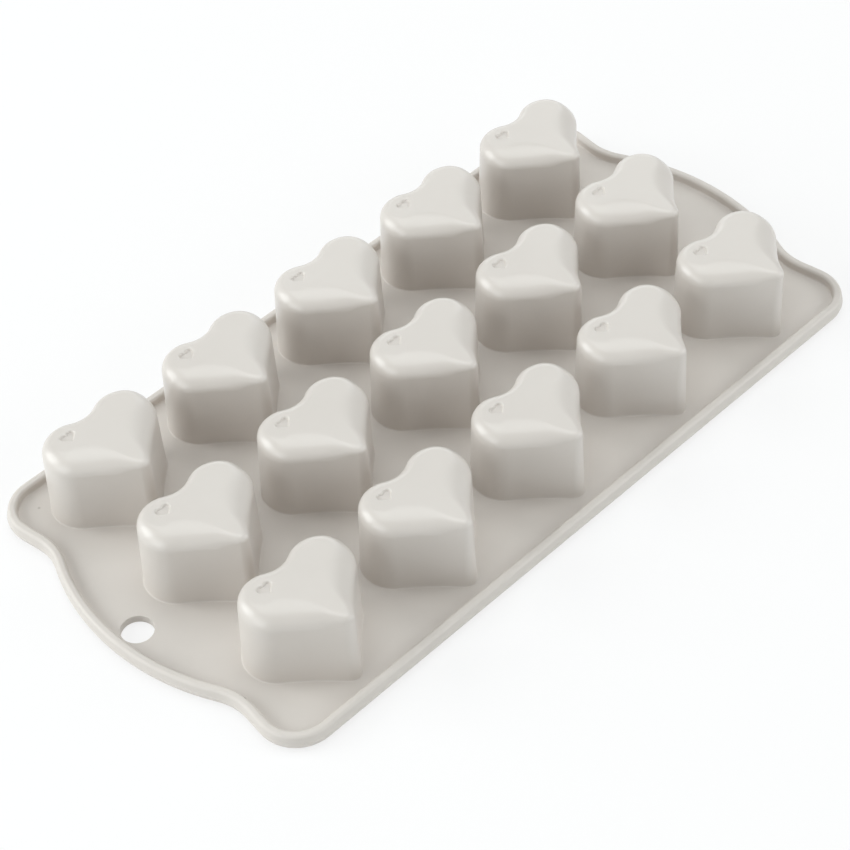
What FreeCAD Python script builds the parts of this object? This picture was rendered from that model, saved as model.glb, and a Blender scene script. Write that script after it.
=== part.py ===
import FreeCAD, Part
import math
import os

V = FreeCAD.Vector

# Grid of heart-shaped cups (mm)
columns = 5
rows = 3
pitch_x = 37.5
pitch_y = 34.1

# Overall outline, at the parting line, as its reach past the middles of the outermost cups
end_reach = 32.5
side_reach = 19.65
length = (columns - 1) * pitch_x + 2 * end_reach
width = (rows - 1) * pitch_y + 2 * side_reach

# Each end: a tab bulges out between two corners, past a hollow waist beside each of them
tab_bulge = 7.0
corner_radius = 10.5
waist_radius = 14.0
waist_lean = 8.0
waist_straight = 5.5

# Sheet that joins the cups
sheet = 2.2

# Raised rim round the sheet
rim_width = 2.6
rim_rise = 2.45
outer_lean = 0.5
crest_bevel = 0.65
crest_flat = 0.8
lower_inset = 1.1
lower_step_inset = 0.25
lower_step_height = 0.9

# One cup, seen from above, at the sheet
lobe_radius = 8.3
lobe_spacing = 15.0
notch_radius = 7.5
tip_reach = 18.2
tip_radius = 2.4

# One cup, seen from the side
cup_rise = 21.1
cup_draft = 1.7
crown_radius = 4.2
crown_corner = 0.27
crown_tip_radius = 1.5
wall = 1.9
cavity_tip_radius = 1.0
cavity_facets = (2, 10, 1, 2)

# Small heart sunk into the top of each cup
mark_lobe_radius = 1.25
mark_tip_reach = 2.7
mark_depth = 0.7
mark_x = -7.25
mark_y = 1.45

# Hanging hole in one end tab, and the land between it and the rim
hole_diameter = 8.0
hole_land = 1.1


def line(p, q):
    return Part.makeLine(p, q)


def arc(centre, radius, start, end, z):
    """Arc from one angle to another, both in radians, at height z."""
    def at(angle):
        return V(centre[0] + radius * math.cos(angle), centre[1] + radius * math.sin(angle), z)
    return Part.Arc(at(start), at((start + end) / 2), at(end)).toShape()


def mirrored(edges, normal):
    """The edges' mirror images across the plane through the Z axis with this normal."""
    return [e.mirror(V(0, 0, 0), normal) for e in edges]


def closed(edges):
    return Part.Wire(Part.__sortEdges__(edges))


def ruled(wires):
    """Solid with straight-ruled sides between wires."""
    return Part.makeLoft(wires, True, True)


def outline(inset, z):
    """The mould's outline, moved inward by the inset."""
    lean = -math.radians(waist_lean)
    corner = (length / 2 - tab_bulge - corner_radius, width / 2 - corner_radius)
    reach = corner_radius + waist_radius
    waist = (
        corner[0] + reach * math.cos(lean) + waist_straight * math.sin(lean),
        corner[1] + reach * math.sin(lean) - waist_straight * math.cos(lean),
    )
    past_end = waist[0] - length / 2
    tab_radius = (past_end ** 2 + waist[1] ** 2 - waist_radius ** 2) / (2 * (waist_radius - past_end))
    tab = (length / 2 - tab_radius, 0.0)
    swing = math.atan2(waist[1], waist[0] - tab[0])
    r_corner = corner_radius - inset
    r_waist = waist_radius + inset
    top = V(corner[0], corner[1] + r_corner, z)
    quarter = [
        line(V(0, top.y, z), top),
        arc(corner, r_corner, math.pi / 2, lean, z),
        line(
            V(corner[0] + r_corner * math.cos(lean), corner[1] + r_corner * math.sin(lean), z),
            V(waist[0] - r_waist * math.cos(lean), waist[1] - r_waist * math.sin(lean), z),
        ),
        arc(waist, r_waist, math.pi + lean, math.pi + swing, z),
        arc(tab, tab_radius - inset, swing, 0.0, z),
    ]
    half = quarter + mirrored(quarter, V(0, 1, 0))
    return closed(half + mirrored(half, V(1, 0, 0)))


def half_heart(inset, z, radius_at_tip):
    """Right half of the heart outline, from notch to tip, moved inward by the inset."""
    half_gap = lobe_spacing / 2
    lobe = (half_gap, 0.0)
    tip_y = tip_radius - tip_reach
    span = math.hypot(half_gap, tip_y)
    side = math.acos((tip_radius - lobe_radius) / span) - math.atan2(-tip_y, half_gap)
    reach = half_gap * math.cos(side) + lobe_radius - inset
    tip = (0.0, -(reach - radius_at_tip) / math.sin(side))
    notch = (0.0, math.sqrt((lobe_radius + notch_radius) ** 2 - half_gap ** 2))
    turn = math.atan2(notch[1], half_gap)
    r_lobe = lobe_radius - inset
    start = V(lobe[0] + r_lobe * math.cos(side), lobe[1] - r_lobe * math.sin(side), z)
    end = V(radius_at_tip * math.cos(side), tip[1] - radius_at_tip * math.sin(side), z)
    return [
        arc(notch, notch_radius + inset, -math.pi / 2, -turn, z),
        arc(lobe, r_lobe, math.pi - turn, -side, z),
        line(start, end),
        arc(tip, radius_at_tip, -side, -math.pi / 2, z),
    ]


def heart(inset, z, radius_at_tip):
    """Smooth heart outline round its own lobe line."""
    half = half_heart(inset, z, radius_at_tip)
    return closed(half + mirrored(half, V(1, 0, 0))).toNurbs().Wires[0]


def faceted_heart(inset, z, radius_at_tip):
    """The same outline in short straight runs."""
    half = half_heart(inset, z, radius_at_tip)
    right = [half[0].discretize(2)[0]]
    for edge, runs in zip(half, cavity_facets):
        right += edge.discretize(runs + 1)[1:]
    left = [V(-p.x, p.y, p.z) for p in reversed(right[1:-1])]
    return Part.makePolygon(right + left + right[:1])


def blank():
    """Sheet and rim without cups: an outer block less the tray inside the rim."""
    crest = sheet + rim_rise
    shoulder = crest - crest_bevel
    outer = [
        (lower_inset, 0.0),
        (lower_step_inset, lower_step_height),
        (0.0, sheet),
        (outer_lean, shoulder),
        (rim_width - crest_bevel - crest_flat, crest),
    ]
    inner = [(rim_width, sheet), (rim_width, shoulder), (rim_width - crest_bevel, crest)]
    block = ruled([outline(inset, z) for inset, z in outer])
    tray = ruled([outline(inset, z) for inset, z in inner])
    return block.cut(tray)


def cup():
    """Outside of one cup, from inside the sheet up to its soft crown."""
    slope = math.tan(math.radians(cup_draft))
    shoulder = cup_rise - crown_radius
    edge = shoulder * slope
    corner = crown_radius * crown_corner
    rings = [
        (-sheet / 2 * slope, sheet / 2),
        (edge, sheet + shoulder),
        (edge + corner, sheet + cup_rise - corner),
        (edge + crown_radius, sheet + cup_rise),
    ]
    return ruled([heart(inset, z, max(tip_radius - inset, crown_tip_radius)) for inset, z in rings])


def cavity():
    """Inside of one cup, open at the underside of the sheet."""
    slope = math.tan(math.radians(cup_draft))
    depth = sheet + cup_rise - wall
    mouth = wall - sheet * slope
    return ruled([faceted_heart(mouth + z * slope, z, cavity_tip_radius) for z in (0.0, depth)])


def mark():
    """Small faceted heart sunk into the top of a cup."""
    r = mark_lobe_radius
    side = r * math.sqrt(0.5)
    half = [(0.0, side), (side, r), (2 * r - side / 2, side), (2 * r - side / 4, -side / 2)]
    points = half + [(0.0, -mark_tip_reach)] + [(-x, y) for x, y in reversed(half[1:])]
    floor = sheet + cup_rise - mark_depth
    corners = [V(mark_x + x, mark_y + y, floor) for x, y in points + points[:1]]
    return Part.Face(Part.makePolygon(corners)).extrude(V(0, 0, 2 * mark_depth))


def spread(shape):
    """One copy of the shape for each cup of the grid."""
    lobe_line = (tip_reach - lobe_radius) / 2
    copies = []
    for row in range(rows):
        for column in range(columns):
            copy = shape.copy()
            x = (column - (columns - 1) / 2) * pitch_x
            y = ((rows - 1) / 2 - row) * pitch_y + lobe_line
            copy.translate(V(x, y, 0))
            copies.append(copy)
    return copies


def hanging_hole():
    x = rim_width + hole_land + hole_diameter / 2 - length / 2
    return Part.makeCylinder(hole_diameter / 2, sheet, V(x, 0, 0), V(0, 0, 1))


def mould():
    body = blank().multiFuse(spread(cup()))
    body = body.cut(spread(cavity()) + spread(mark()) + [hanging_hole()])
    return body.removeSplitter().Solids[0]


os.makedirs("parts", exist_ok=True)
mould().exportStep("parts/mould.step")
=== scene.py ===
import logging
import math
from dataclasses import dataclass, field, replace
from enum import Enum
from typing import Any, Iterable, Sequence, Union

import bpy
import numpy as np
from mathutils import Matrix, Vector
from mathutils.geometry import delaunay_2d_cdt


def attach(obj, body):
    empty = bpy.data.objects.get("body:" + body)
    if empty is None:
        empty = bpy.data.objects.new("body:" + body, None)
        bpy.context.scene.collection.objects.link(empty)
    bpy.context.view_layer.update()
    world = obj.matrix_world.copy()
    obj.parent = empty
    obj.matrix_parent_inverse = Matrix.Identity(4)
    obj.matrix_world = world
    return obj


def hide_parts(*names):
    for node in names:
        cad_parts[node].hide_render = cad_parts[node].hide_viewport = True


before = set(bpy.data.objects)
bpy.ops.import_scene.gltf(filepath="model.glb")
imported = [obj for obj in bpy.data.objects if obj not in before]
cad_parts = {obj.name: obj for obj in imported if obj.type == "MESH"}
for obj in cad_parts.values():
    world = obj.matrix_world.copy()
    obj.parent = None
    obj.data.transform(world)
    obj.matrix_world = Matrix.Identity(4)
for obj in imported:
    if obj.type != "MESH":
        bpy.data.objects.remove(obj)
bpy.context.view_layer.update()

LOG = logging.getLogger("chocolate_mould")
MM = 0.001
SHEET = 2.2  # thickness of the sheet between the cups, in millimetres
SAME_PLACE = 1e-6  # points nearer than this many millimetres are one point
PLAN_STEP = math.radians(6.0)  # angle between neighbouring points of an outline's arc
FINE_STEP = math.radians(10.0)  # the same for a section's arc
COARSE_STEP = math.radians(15.0)  # the same for small features
WHITE = (1.0, 1.0, 1.0, 1.0)
Array = np.ndarray


# Plans: closed outlines seen from above, in millimetres


class Turn(Enum):
    """How an arc's surface faces: away from its centre or towards it."""

    CONVEX = 1
    HOLLOW = -1


@dataclass(frozen=True)
class PlanArc:
    """One arc of a plan.

    The arc runs from one angle to another round its centre. Moving the plan inward shrinks a convex arc and
    widens a hollow one.
    """

    centre: tuple[float, float]
    radius: float
    start: float
    end: float
    turn: Turn = Turn.CONVEX
    step: float = PLAN_STEP
    pieces: int = 0

    def angles(self) -> Array:
        """Angles of the arc's points, in radians, as many as its pieces or else its step ask for."""
        pieces = self.pieces or max(1, math.ceil(abs(self.end - self.start) / self.step))
        return np.linspace(self.start, self.end, pieces + 1)

    def points(self, inset: float) -> Array:
        """Points of the arc.

        Args:
            inset: How far the plan is moved inward, in millimetres.

        Returns:
            One row of x and y for each point.
        """
        angles = self.angles()
        radius = self.radius - self.turn.value * inset
        return np.array(self.centre) + radius * np.column_stack((np.cos(angles), np.sin(angles)))

    def normals(self) -> Array:
        """Outward directions at the arc's points."""
        angles = self.angles()
        return self.turn.value * np.column_stack((np.cos(angles), np.sin(angles)))


class Plan:
    """A closed outline of tangent arcs, joined by straight lines where they don't meet."""

    def arcs(self, inset: float) -> list[PlanArc]:
        """The arcs anticlockwise, before they are moved inward; some depend on the inset."""
        raise NotImplementedError

    def points(self, inset: float) -> Array:
        """Points of the whole outline.

        Args:
            inset: How far the outline is moved inward, in millimetres.

        Returns:
            One row of x and y for each point, anticlockwise, with the same count at any inset.
        """
        return self._unrepeated(np.vstack([arc.points(inset) for arc in self.arcs(inset)]))

    def normals(self, inset: float) -> Array:
        """Outward directions at the outline's points.

        Args:
            inset: How far the outline is moved inward, in millimetres.

        Returns:
            One row of x and y for each point.
        """
        return self._unrepeated(np.vstack([arc.normals() for arc in self.arcs(inset)]))

    def _unrepeated(self, rows: Array) -> Array:
        """Rows without the end of each arc that the next arc starts from."""
        arcs = self.arcs(0.0)
        placed = np.vstack([arc.points(0.0) for arc in arcs])
        gaps = np.linalg.norm(placed - np.roll(placed, -1, axis=0), axis=1)
        return rows[gaps > SAME_PLACE]


def mirrored_arc(arc: PlanArc, across_x: bool) -> PlanArc:
    """The arc's mirror image.

    Args:
        arc: The arc to mirror.
        across_x: True to swap left and right, False to swap front and back.

    Returns:
        The mirrored arc, which runs the other way round so that the outline stays anticlockwise.
    """
    x, y = arc.centre
    if across_x:
        return replace(arc, centre=(-x, y), start=math.pi - arc.end, end=math.pi - arc.start)
    return replace(arc, centre=(x, -y), start=-arc.end, end=-arc.start)


@dataclass(frozen=True)
class SheetPlan(Plan):
    """Outline of the whole mould: at each end a tab bulges out between two corners, past a hollow waist."""

    length: float = 215.0
    width: float = 107.5
    tab_bulge: float = 7.0
    corner_radius: float = 10.5
    waist_radius: float = 14.0
    waist_lean: float = math.radians(8.0)
    waist_straight: float = 5.5
    tab_step: float = math.radians(2.5)

    def arcs(self, inset: float) -> list[PlanArc]:
        """Arcs of the outline; they keep their centres at any inset."""
        lean = -self.waist_lean
        corner_x = self.length / 2 - self.tab_bulge - self.corner_radius
        corner_y = self.width / 2 - self.corner_radius
        reach = self.corner_radius + self.waist_radius
        waist_x = corner_x + reach * math.cos(lean) + self.waist_straight * math.sin(lean)
        waist_y = corner_y + reach * math.sin(lean) - self.waist_straight * math.cos(lean)
        past_end = waist_x - self.length / 2
        spread = past_end ** 2 + waist_y ** 2 - self.waist_radius ** 2
        tab_radius = spread / (2 * (self.waist_radius - past_end))
        tab_x = self.length / 2 - tab_radius
        swing = math.atan2(waist_y, waist_x - tab_x)
        tab = PlanArc((tab_x, 0.0), tab_radius, -swing, swing, step=self.tab_step)
        hollow = PlanArc((waist_x, waist_y), self.waist_radius, math.pi + swing, math.pi + lean, Turn.HOLLOW)
        round_corner = PlanArc((corner_x, corner_y), self.corner_radius, lean, math.pi / 2)
        right_upper = [hollow, round_corner]
        left_upper = [mirrored_arc(arc, True) for arc in reversed(right_upper)]
        left_lower = [mirrored_arc(arc, False) for arc in reversed(left_upper)]
        right_lower = [mirrored_arc(arc, False) for arc in reversed(right_upper)]
        return [tab, *right_upper, *left_upper, mirrored_arc(tab, True), *left_lower, *right_lower]


@dataclass(frozen=True)
class HeartPlan(Plan):
    """Outline of a heart round the middle of the line through its lobes' centres.

    Its flanks are slightly hollow, and its point keeps a least radius when the outline moves inward.
    """

    lobe_radius: float
    lobe_spacing: float
    notch_radius: float
    flank_radius: float
    tip_reach: float
    tip_radius: float
    least_tip_radius: float
    step: float = PLAN_STEP
    flank_pieces: int = 12
    tip_pieces: int = 20

    def arcs(self, inset: float) -> list[PlanArc]:
        """Arcs of the heart; where the point keeps its least radius, it moves up its own line."""
        half = self.lobe_spacing / 2
        flank_x, flank_y = self._flank_centre()
        tip_radius = max(self.tip_radius - inset, self.least_tip_radius)
        tip_y = flank_y + math.sqrt((self.flank_radius + inset + tip_radius) ** 2 - flank_x ** 2)
        upper = math.atan2(-flank_y, half - flank_x)
        lower = math.atan2(tip_y - flank_y, -flank_x)
        notch_y = math.sqrt((self.lobe_radius + self.notch_radius) ** 2 - half ** 2)
        turn = math.atan2(notch_y, half)
        lobe = PlanArc((half, 0.0), self.lobe_radius, upper - math.pi, math.pi - turn, step=self.step)
        notch = PlanArc((0.0, notch_y), self.notch_radius, -turn, turn - math.pi, Turn.HOLLOW, self.step)
        centre = (flank_x, flank_y)
        flank = PlanArc(centre, self.flank_radius, lower, upper, Turn.HOLLOW, pieces=self.flank_pieces)
        point = PlanArc((0.0, tip_y), tip_radius + inset, -lower, lower - math.pi, pieces=self.tip_pieces)
        return [lobe, notch, mirrored_arc(lobe, True), mirrored_arc(flank, True), point, flank]

    def _flank_centre(self) -> tuple[float, float]:
        """Centre of the right flank, which touches the right lobe and the point."""
        half = self.lobe_spacing / 2
        tip_y = self.tip_radius - self.tip_reach
        span = math.hypot(half, tip_y)
        to_lobe = self.flank_radius + self.lobe_radius
        to_tip = self.flank_radius + self.tip_radius
        bend = math.acos((to_lobe ** 2 + span ** 2 - to_tip ** 2) / (2 * to_lobe * span))
        way = math.atan2(tip_y, -half) + bend
        return half + to_lobe * math.cos(way), to_lobe * math.sin(way)


@dataclass(frozen=True)
class RoundPlan(Plan):
    """Outline of a round hole."""

    radius: float

    def arcs(self, inset: float) -> list[PlanArc]:
        """One whole circle."""
        return [PlanArc((0.0, 0.0), self.radius, 0.0, 2 * math.pi)]


# Sections: the line that a plan is swept along, as outward and upward distances


@dataclass(frozen=True)
class Corner:
    """A corner of a section, rounded by its radius; a radius of 0 leaves it sharp."""

    out: float
    up: float
    radius: float = 0.0


@dataclass(frozen=True)
class Station:
    """One ring of a swept section: its place and the direction its surface faces."""

    out: float
    up: float
    facing_out: float
    facing_up: float


def stroke(start: Array, end: Array) -> list[Station]:
    """Two stations of a straight part of a section.

    Args:
        start: Outward and upward distance of its start.
        end: Outward and upward distance of its end.

    Returns:
        The stations, which face to the right of the way from start to end.
    """
    way = (end - start) / np.linalg.norm(end - start)
    return [Station(*start, way[1], -way[0]), Station(*end, way[1], -way[0])]


def rounding(before: Array, corner: Corner, after: Array, step: float) -> list[Station]:
    """Stations of the arc that rounds a corner.

    Args:
        before: The section's point before the corner.
        corner: The corner to round.
        after: The section's point after the corner.
        step: Angle between neighbouring stations, in radians.

    Returns:
        The arc's stations, from the line before the corner to the line after it.
    """
    place = np.array((corner.out, corner.up))
    way_in = (place - before) / np.linalg.norm(place - before)
    way_out = (after - place) / np.linalg.norm(after - place)
    cross = way_in[0] * way_out[1] - way_in[1] * way_out[0]
    bend = math.atan2(cross, float(way_in @ way_out))
    start = place - way_in * corner.radius * math.tan(abs(bend) / 2)
    side = math.copysign(1.0, bend)
    centre = start + side * corner.radius * np.array((-way_in[1], way_in[0]))
    count = max(2, math.ceil(abs(bend) / step) + 1)
    stations = []
    for angle in np.linspace(0.0, bend, count):
        facing_out = way_in[1] * math.cos(angle) + way_in[0] * math.sin(angle)
        facing_up = way_in[1] * math.sin(angle) - way_in[0] * math.cos(angle)
        at = centre + side * corner.radius * np.array((facing_out, facing_up))
        stations.append(Station(*at, facing_out, facing_up))
    return stations


def section(corners: Sequence[Corner], step: float = FINE_STEP) -> list[list[Station]]:
    """A whole section.

    Args:
        corners: The section's corners in order; the first and last are its ends.
        step: Angle between neighbouring stations of an arc, in radians.

    Returns:
        Its straight and round parts, each a list of stations that starts where the last one ended.
    """
    places = [np.array((c.out, c.up)) for c in corners]
    parts: list[list[Station]] = []
    pen = places[0]
    for before, corner, after in zip(places, corners[1:-1], places[2:]):
        arc = rounding(before, corner, after, step) if corner.radius else []
        end = np.array((arc[0].out, arc[0].up)) if arc else np.array((corner.out, corner.up))
        if np.linalg.norm(end - pen) > SAME_PLACE:
            parts.append(stroke(pen, end))
        if arc:
            parts.append(arc)
            end = np.array((arc[-1].out, arc[-1].up))
        pen = end
    if np.linalg.norm(places[-1] - pen) > SAME_PLACE:
        parts.append(stroke(pen, places[-1]))
    return parts


# Skin: the mesh in the making


@dataclass
class Skin:
    """Points, faces and corner directions of a mesh, in millimetres."""

    points: list[Array] = field(default_factory=list)
    faces: list[tuple[int, ...]] = field(default_factory=list)
    facings: list[Array] = field(default_factory=list)

    def ring(self, plan: Plan, station: Station) -> Array:
        """Adds the points of a plan at one station.

        Args:
            plan: The outline to place.
            station: Where to place it.

        Returns:
            The new points' numbers.
        """
        flat = plan.points(-station.out)
        return self.loop(np.column_stack((flat, np.full(len(flat), station.up))))

    def loop(self, places: Array) -> Array:
        """Adds points.

        Args:
            places: One row of x, y and z for each point.

        Returns:
            The new points' numbers.
        """
        first = len(self.points)
        self.points.extend(places)
        return np.arange(first, len(self.points))

    def sweep(self, plan: Plan, parts: list[list[Station]]) -> tuple[Array, Array]:
        """Sweeps a plan along a section.

        Args:
            plan: The outline.
            parts: The section's parts.

        Returns:
            The numbers of the first ring's points and of the last ring's.
        """
        start = lower = self.ring(plan, parts[0][0])
        for part in parts:
            for below, above in zip(part, part[1:]):
                upper = self.ring(plan, above)
                self.band(lower, upper, facing(plan, below), facing(plan, above))
                lower = upper
        return start, lower

    def band(self, lower: Array, upper: Array, facing_lower: Array, facing_upper: Array) -> None:
        """Joins two rings by four-sided faces.

        Args:
            lower: Numbers of the lower ring's points.
            upper: Numbers of the upper ring's points.
            facing_lower: Directions of the surface at the lower ring.
            facing_upper: Directions of the surface at the upper ring.
        """
        for i in range(len(lower)):
            j = (i + 1) % len(lower)
            self.faces.append((lower[i], lower[j], upper[j], upper[i]))
            corners = (facing_lower[i], facing_lower[j], facing_upper[j], facing_upper[i])
            self.facings.append(np.array(corners))

    def flat(self, outer: Array, holes: Sequence[Array], up: bool) -> None:
        """Fills a level area.

        Args:
            outer: Numbers of the points round its outside.
            holes: Numbers of the points round each of its holes.
            up: True if it faces up, False if it faces down.
        """
        rings = [outer, *holes]
        numbers = np.concatenate(rings)
        places = np.array([self.points[n][:2] for n in numbers])
        edges, begin = [], 0
        for ring in rings:
            edges += [(begin + i, begin + (i + 1) % len(ring)) for i in range(len(ring))]
            begin += len(ring)
        made = delaunay_2d_cdt([Vector(p) for p in places], edges, [], 0, SAME_PLACE / 10)
        triangles = np.array(made[2])
        middles = np.array([tuple(p) for p in made[0]])[triangles].mean(axis=1)
        keep = inside(middles, places[: len(outer)])
        begin = len(outer)
        for ring in holes:
            keep &= ~inside(middles, places[begin: begin + len(ring)])
            begin += len(ring)
        level = np.tile((0.0, 0.0, 1.0 if up else -1.0), (3, 1))
        origins = [original[0] for original in made[3]]
        for triangle in triangles[keep]:
            corners = [int(numbers[origins[n]]) for n in triangle]
            self.faces.append(tuple(corners if up else reversed(corners)))
            self.facings.append(level)

    def add(self, other: "Skin", shift: tuple[float, float]) -> int:
        """Adds a copy of another skin.

        Args:
            other: The skin to copy.
            shift: How far the copy is moved along x and y.

        Returns:
            The number that the copy's first point got.
        """
        first = len(self.points)
        self.points.extend(np.array(other.points) + np.array((*shift, 0.0)))
        self.faces += [tuple(n + first for n in face) for face in other.faces]
        self.facings += other.facings
        return first

    def mesh(self, name: str) -> bpy.types.Mesh:
        """The finished mesh, in metres.

        Args:
            name: The mesh's name.

        Returns:
            The mesh, smooth along its curves and crisp at its sharp corners.
        """
        made = bpy.data.meshes.new(name)
        made.from_pydata((np.array(self.points) * MM).tolist(), [], [tuple(map(int, f)) for f in self.faces])
        made.shade_smooth()
        made.normals_split_custom_set(np.concatenate(self.facings).tolist())
        made.update()
        return made


def facing(plan: Plan, station: Station) -> Array:
    """Directions in space of a ring's surface.

    Args:
        plan: The plan that the ring follows.
        station: The station of the ring.

    Returns:
        One row of x, y and z for each of the plan's points.
    """
    flat = plan.normals(-station.out)
    return np.column_stack((flat * station.facing_out, np.full(len(flat), station.facing_up)))


def inside(places: Array, ring: Array) -> Array:
    """Tells which places lie inside a closed outline.

    Args:
        places: One row of x and y for each place.
        ring: One row of x and y for each point of the outline.

    Returns:
        One True or False for each place.
    """
    x, y = places[:, :1], places[:, 1:]
    x0, y0 = ring[:, 0], ring[:, 1]
    x1, y1 = np.roll(x0, -1), np.roll(y0, -1)
    crosses = (y0 > y) != (y1 > y)
    with np.errstate(divide="ignore", invalid="ignore"):
        meets = x0 + (y - y0) * (x1 - x0) / (y1 - y0)
    return (crosses & (x < meets)).sum(axis=1) % 2 == 1


# Shader graph


class Shade:
    """A value in a shader graph that Python's own arithmetic works on."""

    def __init__(self, graph: "ShaderGraph", socket: bpy.types.NodeSocket) -> None:
        """Wraps an output socket of the graph."""
        self.graph = graph
        self.socket = socket

    def _math(self, operation: str, first: "Term", second: "Term") -> "Shade":
        """Adds a Math node and wraps its result."""
        made = self.graph.node("ShaderNodeMath", {"operation": operation}, {0: first, 1: second})
        return Shade(self.graph, made.outputs[0])

    def __add__(self, other: "Term") -> "Shade":
        """This value plus another."""
        return self._math("ADD", self, other)

    def __radd__(self, other: "Term") -> "Shade":
        """Another value plus this one."""
        return self._math("ADD", other, self)

    def __sub__(self, other: "Term") -> "Shade":
        """This value less another."""
        return self._math("SUBTRACT", self, other)

    def __rsub__(self, other: "Term") -> "Shade":
        """Another value less this one."""
        return self._math("SUBTRACT", other, self)

    def __mul__(self, other: "Term") -> "Shade":
        """This value times another."""
        return self._math("MULTIPLY", self, other)

    def __rmul__(self, other: "Term") -> "Shade":
        """Another value times this one."""
        return self._math("MULTIPLY", other, self)


Term = Union[Shade, float]


class ShaderGraph:
    """The nodes of a material or a world."""

    def __init__(self, owner: Union[bpy.types.Material, bpy.types.World]) -> None:
        """Starts an empty graph on its owner."""
        owner.use_nodes = True
        self.tree = owner.node_tree
        self.tree.nodes.clear()

    def node(self, kind: str, settings: dict[str, Any], inputs: dict[Union[str, int], Any]) -> bpy.types.Node:
        """Adds a node.

        Args:
            kind: The node's type.
            settings: Its properties, and a ramp's stops under "stops", set before the sockets.
            inputs: Values or links for its sockets, by name or number.

        Returns:
            The new node.
        """
        made = self.tree.nodes.new(kind)
        for name, value in settings.items():
            if name == "stops":
                self._stops(made.color_ramp, value)
            else:
                setattr(made, name, value)
        for name, value in inputs.items():
            if isinstance(value, Shade):
                self.tree.links.new(value.socket, made.inputs[name])
            elif isinstance(value, bpy.types.NodeSocket):
                self.tree.links.new(value, made.inputs[name])
            else:
                made.inputs[name].default_value = value
        return made

    @staticmethod
    def _stops(ramp: bpy.types.ColorRamp, stops: Sequence[tuple[float, float]]) -> None:
        """Gives a ramp grey stops, each a place and a brightness."""
        while len(ramp.elements) < len(stops):
            ramp.elements.new(1.0)
        for element, (place, level) in zip(ramp.elements, stops):
            element.position = place
            element.color = (level, level, level, 1.0)

    def noise(self, size: float, detail: float, roughness: float = 0.5) -> Shade:
        """Noise over the object's own coordinates.

        Args:
            size: Width of its largest blots, in millimetres.
            detail: How many finer layers it has.
            roughness: How strong those layers are.

        Returns:
            Its value, from 0 to 1.
        """
        place = self.node("ShaderNodeTexCoord", {}, {}).outputs["Object"]
        values = {"Vector": place, "Scale": 1.0 / (size * MM), "Detail": detail, "Roughness": roughness}
        return Shade(self, self.node("ShaderNodeTexNoise", {}, values).outputs["Fac"])

    def height(self) -> Shade:
        """Height above the object's origin, in metres."""
        place = self.node("ShaderNodeTexCoord", {}, {}).outputs["Object"]
        return Shade(self, self.node("ShaderNodeSeparateXYZ", {}, {"Vector": place}).outputs["Z"])

    def ramp(self, value: Shade, stops: Sequence[tuple[float, float]]) -> Shade:
        """The value passed through a grey ramp."""
        made = self.node("ShaderNodeValToRGB", {"stops": stops}, {"Fac": value})
        return Shade(self, made.outputs["Color"])

    def blend(self, share: Term, first: Any, second: Any) -> bpy.types.NodeSocket:
        """A colour between two others."""
        made = self.node("ShaderNodeMix", {"data_type": "RGBA"}, {0: share, 6: first, 7: second})
        return made.outputs[2]

    def seen(self) -> Shade:
        """1 where the camera, a reflection or a see-through surface looks, and 0 for light on the object."""
        rays = self.node("ShaderNodeLightPath", {}, {}).outputs
        straight = Shade(self, rays["Is Camera Ray"]) + Shade(self, rays["Is Glossy Ray"])
        return straight + Shade(self, rays["Is Transmission Ray"])


# Finishes


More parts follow.
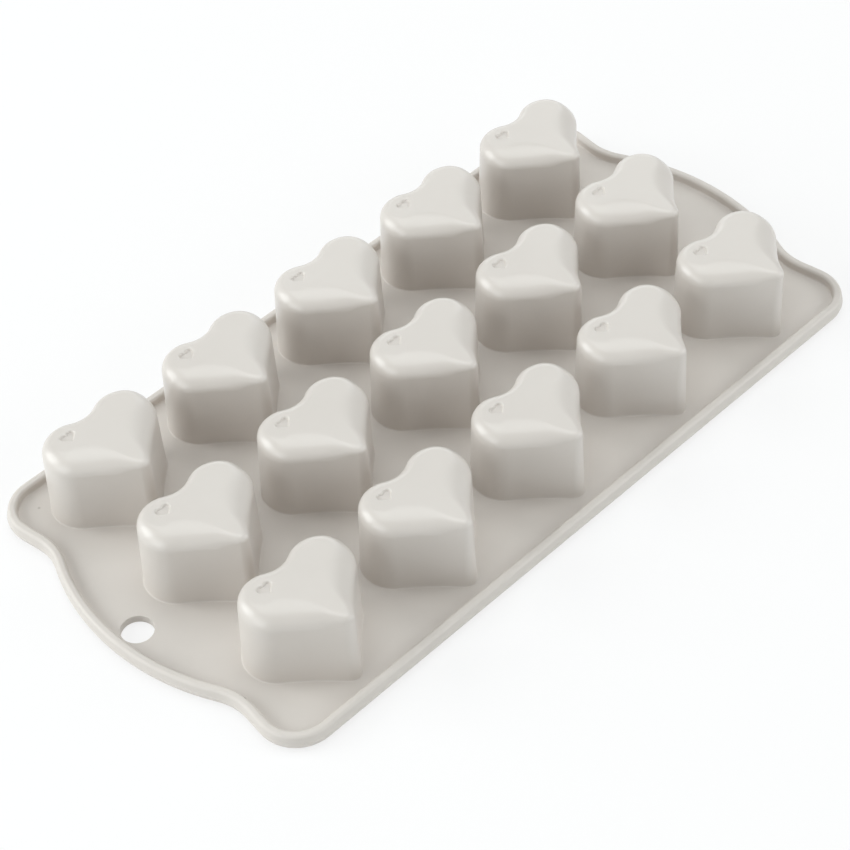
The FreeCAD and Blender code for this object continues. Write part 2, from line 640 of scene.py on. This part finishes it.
@dataclass(frozen=True)
class SiliconeFinish:
    """Pale warm grey silicone, satin from a polished mould, with faint clouding and a few specks of dust.

    Sizes and heights are in millimetres. Stops are places and levels of a ramp.
    """

    body: tuple[float, float, float, float] = (0.615, 0.570, 0.530, 1.0)
    cloud: tuple[float, float, float, float] = (0.640, 0.596, 0.557, 1.0)
    cloud_size: float = 26.0
    cloud_stops: tuple[tuple[float, float], ...] = ((0.32, 0.0), (0.68, 1.0))
    cloud_share: float = 0.7
    mottle_size: float = 1.6
    speck: tuple[float, float, float, float] = (0.33, 0.30, 0.26, 1.0)
    speck_places: tuple[tuple[float, float], ...] = ((-97.1, -34.2), (-101.8, -17.3), (-91.4, 46.0))
    speck_stops: tuple[tuple[float, float], ...] = ((0.22, 1.0), (0.45, 0.0))
    speck_share: float = 0.55
    sheet_roughness: float = 0.46
    cup_roughness: float = 0.315
    polish_height: float = 20.0
    polish_stops: tuple[tuple[float, float], ...] = ((0.12, 0.0), (0.9, 1.0))
    roughness_swing: float = 0.05
    swing_size: float = 14.0
    refraction: float = 1.42
    coat: float = 0.35
    coat_roughness: float = 0.2
    grain_size: float = 0.45
    grain_height: float = 0.012
    wave_size: float = 7.0
    wave_height: float = 0.05

    def material(self) -> bpy.types.Material:
        """The finish as a material."""
        made = bpy.data.materials.new("silicone")
        graph = ShaderGraph(made)
        on_cups = graph.ramp(graph.height() * (1.0 / (self.polish_height * MM)), self.polish_stops)
        shader = graph.node(
            "ShaderNodeBsdfPrincipled",
            {},
            {
                "Base Color": self._colour(graph),
                "Roughness": self._roughness(graph, on_cups),
                "IOR": self.refraction,
                "Coat Weight": on_cups * self.coat,
                "Coat Roughness": self.coat_roughness,
                "Normal": self._relief(graph),
            },
        )
        graph.node("ShaderNodeOutputMaterial", {}, {"Surface": shader.outputs[0]})
        return made

    def _colour(self, graph: ShaderGraph) -> bpy.types.NodeSocket:
        """The clouded colour of the body with the specks on it."""
        clouds = graph.ramp(graph.noise(self.cloud_size, 3.0, 0.55), self.cloud_stops)
        mottle = graph.noise(self.mottle_size, 4.0, 0.6)
        share = clouds * self.cloud_share + mottle * (1.0 - self.cloud_share)
        return graph.blend(self._specks(graph), graph.blend(share, self.body, self.cloud), self.speck)

    def _roughness(self, graph: ShaderGraph, on_cups: Shade) -> Shade:
        """The roughness, less on the polished cups than on the sheet.

        Args:
            graph: The material's graph.
            on_cups: The share of the cups' polish, from 0 to 1.

        Returns:
            The roughness with its slow swing.
        """
        roughness = self.sheet_roughness + on_cups * (self.cup_roughness - self.sheet_roughness)
        return roughness + (graph.noise(self.swing_size, 1.0) - 0.5) * self.roughness_swing

    def _specks(self, graph: ShaderGraph) -> Shade:
        """Where the few specks lie, from 0 to 1, each measured in plan from its middle."""
        place = graph.node("ShaderNodeTexCoord", {}, {}).outputs["Object"]
        level = graph.node("ShaderNodeVectorMath", {"operation": "MULTIPLY"}, {0: place, 1: (1.0, 1.0, 0.0)})
        total: Term = 0.0
        for x, y in self.speck_places:
            ends = {0: level.outputs[0], 1: (x * MM, y * MM, 0.0)}
            gap = graph.node("ShaderNodeVectorMath", {"operation": "DISTANCE"}, ends).outputs["Value"]
            near = graph.ramp(Shade(graph, gap) * (1.0 / MM), self.speck_stops)
            total = near * self.speck_share + total
        return total

    def _relief(self, graph: ShaderGraph) -> bpy.types.NodeSocket:
        """The surface's fine grain over its slow waves."""
        grain = graph.noise(self.grain_size, 3.0, 0.6) * self.grain_height
        height = grain + graph.noise(self.wave_size, 2.0) * self.wave_height
        bump = graph.node("ShaderNodeBump", {}, {"Strength": 1.0, "Distance": MM, "Height": height})
        return bump.outputs[0]


@dataclass(frozen=True)
class FloorFinish:
    """Plain white studio floor that keeps the object's shadow."""

    colour: tuple[float, float, float, float] = (0.90, 0.90, 0.90, 1.0)
    share_of_white: float = 0.72

    def material(self) -> bpy.types.Material:
        """The finish as a material, seen as nearly white but lit as a plain floor."""
        made = bpy.data.materials.new("studio_floor")
        graph = ShaderGraph(made)
        lit = graph.node("ShaderNodeBsdfDiffuse", {}, {"Color": self.colour})
        white = graph.node("ShaderNodeEmission", {}, {"Color": WHITE, "Strength": 1.0})
        share = graph.seen() * self.share_of_white
        mixed = graph.node("ShaderNodeMixShader", {}, {0: share, 1: lit.outputs[0], 2: white.outputs[0]})
        graph.node("ShaderNodeOutputMaterial", {}, {"Surface": mixed.outputs[0]})
        return made


# The mould


@dataclass(frozen=True)
class Cup:
    """One hollow heart cup with its drafted walls, soft crown and sunken mark, in millimetres.

    The crown has one width for each of its places, which are distances from the lobe line towards the lobes'
    end. Where it is wider than it is high, it rolls over as an ellipse.
    """

    rise: float = 21.1
    draft: float = math.radians(1.7)
    crown_height: float = 4.2
    crown_places: tuple[float, ...] = (-17.4, -16.0, -14.5, -12.5, -10.0, -8.0, -5.5, -3.0, 0.0, 3.0, 6.0)
    crown_widths: tuple[float, ...] = (1.5, 1.9, 3.0, 4.8, 6.6, 6.9, 6.0, 4.9, 4.2, 3.3, 2.8)
    crown_bands: int = 12
    crown_smoothings: int = 3
    foot_radius: float = 0.35
    wall: float = 1.9
    ceiling_radius: float = 2.2
    mouth_radius: float = 0.3
    mark_place: tuple[float, float] = (-7.15, 2.8)
    mark_depth: float = 0.6
    mark_edge: float = 0.6
    mark_slope: float = 0.3
    mark_floor_radius: float = 0.25
    outside: HeartPlan = HeartPlan(
        lobe_radius=8.4,
        lobe_spacing=15.0,
        notch_radius=6.5,
        flank_radius=70.0,
        tip_reach=18.2,
        tip_radius=2.7,
        least_tip_radius=1.5,
    )
    inside: HeartPlan = replace(outside, least_tip_radius=1.0)
    mark: HeartPlan = HeartPlan(
        lobe_radius=1.0,
        lobe_spacing=2.0,
        notch_radius=0.8,
        flank_radius=30.0,
        tip_reach=2.0,
        tip_radius=0.6,
        least_tip_radius=0.15,
        step=COARSE_STEP,
        flank_pieces=2,
        tip_pieces=6,
    )

    @property
    def top(self) -> float:
        """Height of the cup's level top above the table, in millimetres."""
        return SHEET + self.rise

    def shell(self) -> tuple[Skin, Array]:
        """The outside of the cup.

        Returns:
            The skin, and the numbers of its points that stand on the sheet.
        """
        start = 3 * self.foot_radius
        line = [
            Corner(2 * self.foot_radius, SHEET),
            Corner(0.0, SHEET, self.foot_radius),
            Corner(-start * math.tan(self.draft), SHEET + start),
        ]
        skin = Skin()
        foot, lower = skin.sweep(self.outside, section(line))
        crown = self._roll_over(skin, lower)
        skin.flat(crown, [self._sink_mark(skin)], True)
        return skin, foot

    def _roll_over(self, skin: Skin, lower: Array) -> Array:
        """Adds the wall and the crown, which is widest along the flanks and narrowest round the point.

        Args:
            skin: The cup's skin.
            lower: Numbers of the points that the wall starts from.

        Returns:
            The numbers of the points where the crown meets the level top.
        """
        outline, outward = self.outside.points(0.0), self.outside.normals(0.0)
        widths = np.interp(outline[:, 1], self.crown_places, self.crown_widths)
        for _ in range(self.crown_smoothings):
            widths = (np.roll(widths, 1) + 2 * widths + np.roll(widths, -1)) / 4
        heights = np.minimum(widths, self.crown_height)
        slope = math.tan(self.draft)
        start = np.arctan(slope * heights / widths)
        centre = (heights * (1.0 - np.sin(start)) - self.rise) * slope - widths * np.cos(start)
        below = facing(self.outside, Station(0.0, 0.0, math.cos(self.draft), math.sin(self.draft)))
        for share in np.linspace(0.0, 1.0, self.crown_bands + 1):
            angle = start + (math.pi / 2 - start) * share
            out = (centre + widths * np.cos(angle))[:, None]
            up = self.top - heights * (1.0 - np.sin(angle))
            ring = skin.loop(np.column_stack((outline + outward * out, up)))
            above = np.column_stack((outward * (np.cos(angle) / widths)[:, None], np.sin(angle) / heights))
            above /= np.linalg.norm(above, axis=1, keepdims=True)
            skin.band(lower, ring, below, above)
            lower, below = ring, above
        return lower

    def _sink_mark(self, skin: Skin) -> Array:
        """Adds the small heart sunk into the cup's top.

        Args:
            skin: The cup's skin.

        Returns:
            The numbers of the points round the mark's upper edge.
        """
        line = [
            Corner(self.mark_edge, self.top),
            Corner(0.0, self.top, self.mark_edge),
            Corner(-self.mark_slope, self.top - self.mark_depth, self.mark_floor_radius),
            Corner(-2 * self.mark_slope, self.top - self.mark_depth),
        ]
        sunk = Skin()
        rim, floor = sunk.sweep(self.mark, section(line, COARSE_STEP))
        sunk.flat(floor, [], True)
        return rim + skin.add(sunk, self.mark_place)

    def hollow(self) -> tuple[Skin, Array]:
        """The inside of the cup.

        Returns:
            The skin, and the numbers of its points round the mouth.
        """
        ceiling = self.top - self.wall
        slope = math.tan(self.draft)
        mouth = SHEET * slope - self.wall
        line = [
            Corner(mouth - ceiling * slope - self.ceiling_radius, ceiling),
            Corner(mouth - ceiling * slope, ceiling, self.ceiling_radius),
            Corner(mouth, 0.0, self.mouth_radius),
            Corner(mouth + self.mouth_radius, 0.0),
        ]
        skin = Skin()
        roof, rim = skin.sweep(self.inside, section(line))
        skin.flat(roof, [], False)
        return skin, rim


@dataclass(frozen=True)
class Rim:
    """The raised rim with its parting line, and the stepped band below it, in millimetres."""

    plan: SheetPlan = SheetPlan()
    width: float = 2.6
    rise: float = 2.45
    outer_lean: float = 0.5
    outer_round: float = 1.0
    inner_round: float = 0.8
    foot_round: float = 0.45
    flash: float = 0.11
    flash_half_height: float = 0.13
    flash_edge: float = 0.06
    flash_corner: float = 0.05
    lower_inset: float = 1.1
    lower_margin: float = 0.5
    lower_round: float = 0.3
    lower_step_inset: float = 0.25
    lower_step_height: float = 0.9
    lower_step_round: float = 1.2

    def wrap(self, skin: Skin) -> tuple[Array, Array]:
        """Adds the rim.

        Args:
            skin: The mould's skin.

        Returns:
            The numbers of the points round its underside and round its foot on the sheet.
        """
        crest = SHEET + self.rise
        line = [
            Corner(-self.lower_inset - self.lower_margin, 0.0),
            Corner(-self.lower_inset, 0.0, self.lower_round),
            Corner(-self.lower_step_inset - self.flash / 2, self.lower_step_height, self.lower_step_round),
            Corner(-self.flash, SHEET - 2 * self.flash_half_height, self.flash_corner),
            Corner(0.0, SHEET - self.flash_half_height, self.flash_edge),
            Corner(0.0, SHEET + self.flash_half_height, self.flash_edge),
            Corner(-self.flash, SHEET + 2 * self.flash_half_height, self.flash_corner),
            Corner(-self.outer_lean, crest, self.outer_round),
            Corner(-self.width, crest, self.inner_round),
            Corner(-self.width, SHEET, self.foot_round),
            Corner(-self.width - self.foot_round, SHEET),
        ]
        return skin.sweep(self.plan, section(line))


@dataclass(frozen=True)
class Mould:
    """The whole silicone mould: a sheet of fifteen cups inside a raised rim, with a hanging hole.

    Sizes are in millimetres until the mesh is made.
    """

    columns: int = 5
    rows: int = 3
    pitch_x: float = 37.5
    pitch_y: float = 34.1
    hole_x: float = -99.8
    hole_radius: float = 4.0
    hole_edge: float = 0.15
    cup: Cup = Cup()
    rim: Rim = Rim()
    finish: SiliconeFinish = SiliconeFinish()

    def places(self) -> Iterable[tuple[float, float]]:
        """Where the cups' lobe lines lie on the sheet."""
        heart = self.cup.outside
        lobe_line = (heart.tip_reach - heart.lobe_radius) / 2
        for row in range(self.rows):
            for column in range(self.columns):
                x = (column - (self.columns - 1) / 2) * self.pitch_x
                yield x, ((self.rows - 1) / 2 - row) * self.pitch_y + lobe_line

    def build(self) -> bpy.types.Object:
        """Builds the mould as one closed piece.

        Returns:
            The dressed object.
        """
        skin = Skin()
        underside, foot = self.rim.wrap(skin)
        shell, stands_on = self.cup.shell()
        hollow, mouth = self.cup.hollow()
        tops, mouths = [], []
        for place in self.places():
            tops.append(stands_on + skin.add(shell, place))
            mouths.append(mouth + skin.add(hollow, place))
        hole_top, hole_bottom = self._pierce(skin)
        skin.flat(foot, [*tops, hole_top], True)
        skin.flat(underside, [*mouths, hole_bottom], False)
        piece = bpy.data.objects.new("silicone_mould", skin.mesh("silicone_mould"))
        bpy.context.scene.collection.objects.link(piece)
        piece.data.materials.append(self.finish.material())
        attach(piece, "root")
        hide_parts("mould")
        return piece

    def _pierce(self, skin: Skin) -> tuple[Array, Array]:
        """Adds the hanging hole's wall.

        Args:
            skin: The mould's skin.

        Returns:
            The numbers of the points round its upper edge and round its lower edge.
        """
        line = [
            Corner(self.hole_edge, SHEET),
            Corner(0.0, SHEET, self.hole_edge),
            Corner(0.0, 0.0, self.hole_edge),
            Corner(self.hole_edge, 0.0),
        ]
        wall = Skin()
        upper, lower = wall.sweep(RoundPlan(self.hole_radius), section(line, COARSE_STEP))
        first = skin.add(wall, (self.hole_x, 0.0))
        return upper + first, lower + first


# Studio


@dataclass(frozen=True)
class Softbox:
    """A square studio lamp that faces the middle of the mould; its place and size are in metres."""

    name: str
    place: tuple[float, float, float]
    size: float
    power: float
    colour: tuple[float, float, float] = (0.96, 1.0, 1.0)

    def hang(self) -> bpy.types.Object:
        """Hangs the lamp and returns it."""
        lamp = bpy.data.lights.new(self.name, "AREA")
        lamp.shape = "SQUARE"
        lamp.size = self.size
        lamp.energy = self.power
        lamp.color = self.colour
        made = bpy.data.objects.new(self.name, lamp)
        made.location = self.place
        made.rotation_euler = (-Vector(self.place)).to_track_quat("-Z", "Y").to_euler()
        bpy.context.scene.collection.objects.link(made)
        return made


@dataclass(frozen=True)
class Studio:
    """Camera, lamps, white surroundings and floor, in metres."""

    eye: tuple[float, float, float] = (-0.2873, -0.2959, 0.4226)
    to_right: tuple[float, float, float] = (0.69911, -0.71421, -0.03374)
    to_top: tuple[float, float, float] = (0.53182, 0.48788, 0.69219)
    backward: tuple[float, float, float] = (-0.47792, -0.50186, 0.72092)
    lens: float = 99.83
    sensor: float = 36.0
    nearest: float = 0.01
    floor_size: float = 12.0
    floor_drop: float = 0.02 * MM
    ambient: float = 0.03
    lamps: tuple[Softbox, ...] = (
        Softbox("overhead", (0.15, 0.15, 1.20), 1.1, 8.4),
        Softbox("left", (-1.20, 0.0, 0.45), 0.9, 6.0),
        Softbox("far_left", (-0.85, 0.95, 0.60), 0.9, 12.6),
        Softbox("right", (0.90, -0.90, 0.60), 0.9, 7.4),
        Softbox("near", (0.0, -1.20, 0.45), 0.9, 4.0),
        Softbox("far_right", (0.90, 0.90, 0.60), 0.9, 3.0),
    )
    floor: FloorFinish = FloorFinish()

    def camera(self) -> bpy.types.Object:
        """Sets up the camera at the photograph's viewing angle and returns it."""
        lens = bpy.data.cameras.new("camera")
        lens.lens = self.lens
        lens.sensor_width = self.sensor
        lens.clip_start = self.nearest
        made = bpy.data.objects.new("camera", lens)
        turn = Matrix((self.to_right, self.to_top, self.backward)).transposed()
        made.matrix_world = Matrix.Translation(self.eye) @ turn.to_4x4()
        bpy.context.scene.collection.objects.link(made)
        bpy.context.scene.camera = made
        return made

    def surroundings(self) -> bpy.types.World:
        """Makes the world, soft ambient light that is seen as white, and returns it."""
        world = bpy.data.worlds.new("studio")
        bpy.context.scene.world = world
        graph = ShaderGraph(world)
        strength = graph.seen() * (1.0 - self.ambient) + self.ambient
        sky = graph.node("ShaderNodeBackground", {}, {"Color": WHITE, "Strength": strength})
        graph.node("ShaderNodeOutputWorld", {}, {"Surface": sky.outputs[0]})
        return world

    def ground(self) -> bpy.types.Object:
        """Lays the floor under the mould and returns it."""
        half = self.floor_size / 2
        corners = [(-half, -half, 0.0), (half, -half, 0.0), (half, half, 0.0), (-half, half, 0.0)]
        mesh = bpy.data.meshes.new("floor")
        mesh.from_pydata(corners, [], [(0, 1, 2, 3)])
        made = bpy.data.objects.new("floor", mesh)
        made.location.z = -self.floor_drop
        mesh.materials.append(self.floor.material())
        bpy.context.scene.collection.objects.link(made)
        return made

    def set_up(self) -> None:
        """Sets up everything round the mould."""
        bpy.context.scene.view_settings.view_transform = "Standard"
        self.camera()
        self.surroundings()
        self.ground()
        for lamp in self.lamps:
            lamp.hang()


def main() -> None:
    """Builds the mould and the studio, and reports each piece."""
    logging.basicConfig(level=logging.INFO, format="%(message)s")
    piece = Mould().build()
    triangles = sum(len(face.vertices) - 2 for face in piece.data.polygons)
    LOG.info("%s: %d triangles", piece.name, triangles)
    studio = Studio()
    studio.set_up()
    LOG.info("studio: %d lamps", len(studio.lamps))


if __name__ == "__main__":
    main()
